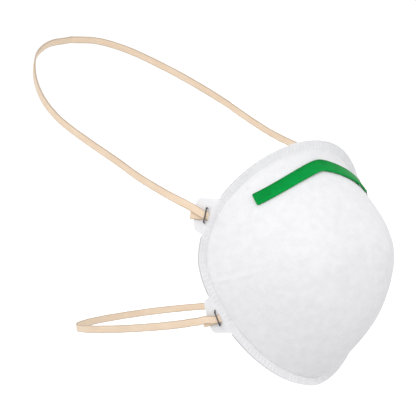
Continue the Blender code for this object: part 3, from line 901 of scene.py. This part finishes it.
def smooth_path(route, spacing):
    """Evenly spaced points of a smooth curve through the route's points."""
    pts = [np.array(p, float) for p in route]
    pts = [pts[0] * 2.0 - pts[1]] + pts + [pts[-1] * 2.0 - pts[-2]]
    dense = []
    for a, b, c, d in zip(pts, pts[1:], pts[2:], pts[3:]):
        for i in range(24):
            t = i / 24.0
            ease = (c - a) * t + (a * 2.0 - b * 5.0 + c * 4.0 - d) * t ** 2
            dense.append(b + (ease + (b * 3.0 - a - c * 3.0 + d) * t ** 3) * 0.5)
    dense.append(pts[-2])
    dense = np.array(dense)
    reach = reach_along(dense)
    marks = np.linspace(0.0, reach[-1], round(reach[-1] / spacing) + 1)
    return np.stack([np.interp(marks, reach, dense[:, k]) for k in range(3)], axis=1)


def mirrored(points):
    return points * np.array((-1.0, 1.0, 1.0))


def strap_line(plan, side=1.0):
    """The stapled end up to the staple's crown, and the run on from there."""
    tab = plan["tab"]
    spot = TabFrame(tab, side)
    radius = (RUN_LIFT - TAIL_LIFT) / 2.0
    centre = TAIL_LIFT + radius
    (near, near_up), (far, far_up) = tab["tail"]
    start_up = tab["run"][0][1]
    under = smooth_path([spot.at(far, far_up, TAIL_LIFT), spot.at(near, near_up, TAIL_LIFT),
                         spot.at(FOLD_REACH + 0.2, near_up, TAIL_LIFT)], END_SPACING)
    fold = []
    for i in range(1, FOLD_STEPS):
        turn = math.pi * i / FOLD_STEPS
        up = near_up + (start_up - near_up) * i / FOLD_STEPS
        reach = FOLD_REACH - radius * math.sin(turn)
        fold.append(spot.at(reach, up, centre - radius * math.cos(turn)))
    over = [spot.at(reach, start_up - RUN_DROP, RUN_LIFT) for reach in (-0.8, -0.45, 0.0)]
    end = np.concatenate([under, fold, over])
    knots = [spot.at(0.03, start_up - RUN_DROP, RUN_LIFT)]
    knots += [spot.at(reach, up, RUN_LIFT) for reach, up in tab["run"]]
    route = np.array(plan["route"]) * (side, 1.0, 1.0)
    run = smooth_path(knots + list(route), RUN_SPACING)
    return spot, end, run


def lay_unevenly(path, rows):
    """Raise or lower parts of the strap's +X half, as slack elastic lies."""
    for low, high, rise in rows:
        share = np.clip((path[:, 1] - low) / (high - low), 0.0, 1.0)
        lift = rise * np.sin(math.pi * share) ** 2 * smooth_step(path[:, 0], -10.0, 25.0)
        path = path + lift[:, None] * np.array((0.0, 0.0, 1.0))
    return path


def band(name, path, wide, mat, start_reach):
    """A flat elastic band swept along a path."""
    along = unit(np.gradient(path, axis=0))
    wide = unit(wide - along * (wide * along).sum(axis=1, keepdims=True))
    thick = np.cross(along, wide)
    section = rounded_section(BAND_WIDTH, BAND_THICK, BAND_CORNER, 4, 3)
    reach = start_reach + reach_along(path)
    ripple = sum((high * np.sin(reach * rate + phase) for high, rate, phase in BAND_RIPPLE), 1.0)
    rings = (path[:, None] + wide[:, None] * (section[None, :, 0:1] * ripple[:, None, None])
             + thick[:, None] * section[None, :, 1:2])
    size = len(section)
    obj = piece(name, rings.reshape(-1, 3), tube_faces(len(path), size), mat, 55.0)
    outward(obj)
    across = section[:, 0] / BAND_WIDTH + 0.5
    add_uv(obj, np.repeat(reach * 0.1, size), np.tile(across, len(path)))
    return obj


def make_strap(level, mat):
    """The loop of elastic from one staple to the other, around the head."""
    plan = STRAPS[level]
    spot, _, run = strap_line(plan)
    path = lay_unevenly(np.concatenate([run, mirrored(run[:-1])[::-1]]), plan["uneven"])
    hinge = np.array(plan["route"][0])
    behind = smooth_step(path[:, 1], *(hinge[1] + reach for reach in TURN_REACH))[:, None]
    near = np.tile(spot.up, (len(path), 1))
    near[path[:, 0] < 0.0] *= (-1.0, 1.0, 1.0)
    wide = near * (1.0 - behind) + np.array(plan["wide"])[None] * behind
    obj = band(f"{level}_head_strap", path, wide, mat, 0.0)
    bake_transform(obj)
    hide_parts(f"{level}_strap")


def make_strap_end(level, side, word, mat):
    """The end folded back under the staple, its tail flat on the tab."""
    spot, end, _ = strap_line(STRAPS[level], side)
    obj = band(f"{level}_tail_{word}", end, np.tile(spot.up, (len(end), 1)), mat, 0.4)
    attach(obj, "mask")
    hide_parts(f"{level}_strap_end_{word}")


def add_uv(obj, u, v):
    layer = obj.data.uv_layers.new(name="UVMap")
    index = np.empty(len(obj.data.loops), int)
    obj.data.loops.foreach_get("vertex_index", index)
    layer.data.foreach_set("uv", np.stack([u[index], v[index]], axis=1).ravel().astype(np.float32))


def rounded_corners(corners, radius, steps):
    path = [corners[0]]
    for before, corner, after in zip(corners, corners[1:], corners[2:]):
        start = corner + unit(before - corner) * radius
        end = corner + unit(after - corner) * radius
        for i in range(steps + 1):
            t = i / steps
            path.append(start * (1 - t) ** 2 + corner * 2 * t * (1 - t) + end * t ** 2)
    return path + [corners[-1]]


def make_staple(level, side, word, mat):
    """Crown across the strap, legs through the tab, points turned outward."""
    spot = TabFrame(STRAPS[level]["tab"], side)
    half = STAPLE_CROWN / 2.0
    back = -(FLANGE_LINING_DEPTH + LINING_THICK + CLINCH_GAP + WIRE_RADIUS)
    inner = half - STAPLE_CLINCH
    shape = [(inner, back + 0.25), (half - 1.0, back), (half, back), (half, WIRE_LIFT)]
    outline = shape + [(0.0, WIRE_LIFT - 0.12)] + [(-up, lift) for up, lift in reversed(shape)]
    spots = rounded_corners([np.array(p) for p in outline], STAPLE_CORNER, 8)
    path = np.array([spot.at(0.0, p[0], p[1]) for p in spots])
    along = unit(np.gradient(path, axis=0))
    first = np.tile(spot.out, (len(path), 1))
    second = np.cross(first, along)
    turns = np.linspace(0.0, math.tau, WIRE_SIDES + 1)[None, :-1, None]
    height = np.array([abs(p[0]) for p in spots])
    swell = WIRE_SWELL * smooth_step(height, half - 1.2, half - 0.3)
    girth = (WIRE_RADIUS * (1.0 + swell))[:, None, None]
    wide, thin = WIRE_FLATTEN
    rings = path[:, None] + girth * (first[:, None] * np.cos(turns) * wide
                                     + second[:, None] * np.sin(turns) * thin)
    obj = piece(f"{level}_wire_{word}", rings.reshape(-1, 3), tube_faces(len(path), WIRE_SIDES), mat,
                60.0)
    outward(obj)
    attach(obj, "mask")
    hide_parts(f"{level}_staple_{word}")


# -------------------------------------------------------------- surroundings

def make_floor():
    mesh = bpy.data.meshes.new("floor")
    ring = ((-1.0, -1.0), (1.0, -1.0), (1.0, 1.0), (-1.0, 1.0))
    corners = [(x * FLOOR_SIZE, y * FLOOR_SIZE, FLOOR_HEIGHT) for x, y in ring]
    mesh.from_pydata(corners, [], [(0, 1, 2, 3)])
    floor = bpy.data.objects.new("floor", mesh)
    bpy.context.collection.objects.link(floor)
    n = Nodes("pale_floor")
    tone = n.ramp(n.noise(0.0004), ((0.3, 0.93), (0.7, 0.95)))
    mesh.materials.append(n.finish(
        tone, Roughness=0.9, Emission_Color=(1.0, 1.0, 1.0, 1.0), Emission_Strength=FLOOR_GLOW))
    floor.visible_diffuse = False


def sky_glow(tree):
    """Soft light, a little stronger from above."""
    glow = tree.nodes.new("ShaderNodeBackground")
    glow.inputs["Strength"].default_value = 1.0
    coords = tree.nodes.new("ShaderNodeTexCoord")
    split = tree.nodes.new("ShaderNodeSeparateXYZ")
    fade = tree.nodes.new("ShaderNodeValToRGB")
    for element, color in zip(fade.color_ramp.elements, (SKY_LOW, SKY_HIGH)):
        element.color = (*color, 1.0)
    lift = tree.nodes.new("ShaderNodeMapRange")
    lift.inputs["From Min"].default_value = -SKY_SPAN
    lift.inputs["From Max"].default_value = SKY_SPAN
    tree.links.new(coords.outputs["Generated"], split.inputs[0])
    tree.links.new(split.outputs["Z"], lift.inputs["Value"])
    tree.links.new(lift.outputs["Result"], fade.inputs["Fac"])
    tree.links.new(fade.outputs["Color"], glow.inputs["Color"])
    return glow


def make_world():
    """White where it is seen, and a soft gradient for the light it gives."""
    world = bpy.data.worlds.new("studio")
    bpy.context.scene.world = world
    world.use_nodes = True
    tree = world.node_tree
    seen = tree.nodes["Background"]
    seen.inputs["Color"].default_value = (1.0, 1.0, 1.0, 1.0)
    seen.inputs["Strength"].default_value = SKY_SEEN
    path = tree.nodes.new("ShaderNodeLightPath")
    mix = tree.nodes.new("ShaderNodeMixShader")
    tree.links.new(path.outputs["Is Camera Ray"], mix.inputs["Fac"])
    tree.links.new(sky_glow(tree).outputs[0], mix.inputs[1])
    tree.links.new(seen.outputs[0], mix.inputs[2])
    tree.links.new(mix.outputs[0], tree.nodes["World Output"].inputs["Surface"])


def softbox(name, place, width, watts):
    """A square light aimed at the frame's origin."""
    data = bpy.data.lights.new(name, "AREA")
    data.shape = "SQUARE"
    data.size = width
    data.energy = watts
    lamp = bpy.data.objects.new(name, data)
    bpy.context.collection.objects.link(lamp)
    lamp.location = place
    lamp.rotation_euler = (-Vector(place)).to_track_quat("-Z", "Y").to_euler()


def give(node, mat):
    """Put a material on a CAD node that keeps its own shape."""
    obj = bpy.data.objects.get(node)
    for slot_item in obj.material_slots:
        slot_item.material = mat


def main():
    make_camera()
    elastic, steel = elastic_material(), steel_material()
    for level in STRAPS:
        make_strap(level, elastic)
    for level in STRAPS:
        for side, word in ((1.0, "left"), (-1.0, "right")):
            make_strap_end(level, side, word, elastic)
            make_staple(level, side, word, steel)
    make_cover()
    make_lining()
    make_strip()
    make_foam()
    give("filter_layer", felt_material())
    give("support_shell", support_material())
    make_floor()
    make_world()
    for row in SOFTBOXES:
        softbox(*row)
    bpy.context.scene.view_settings.view_transform = "Standard"


main()
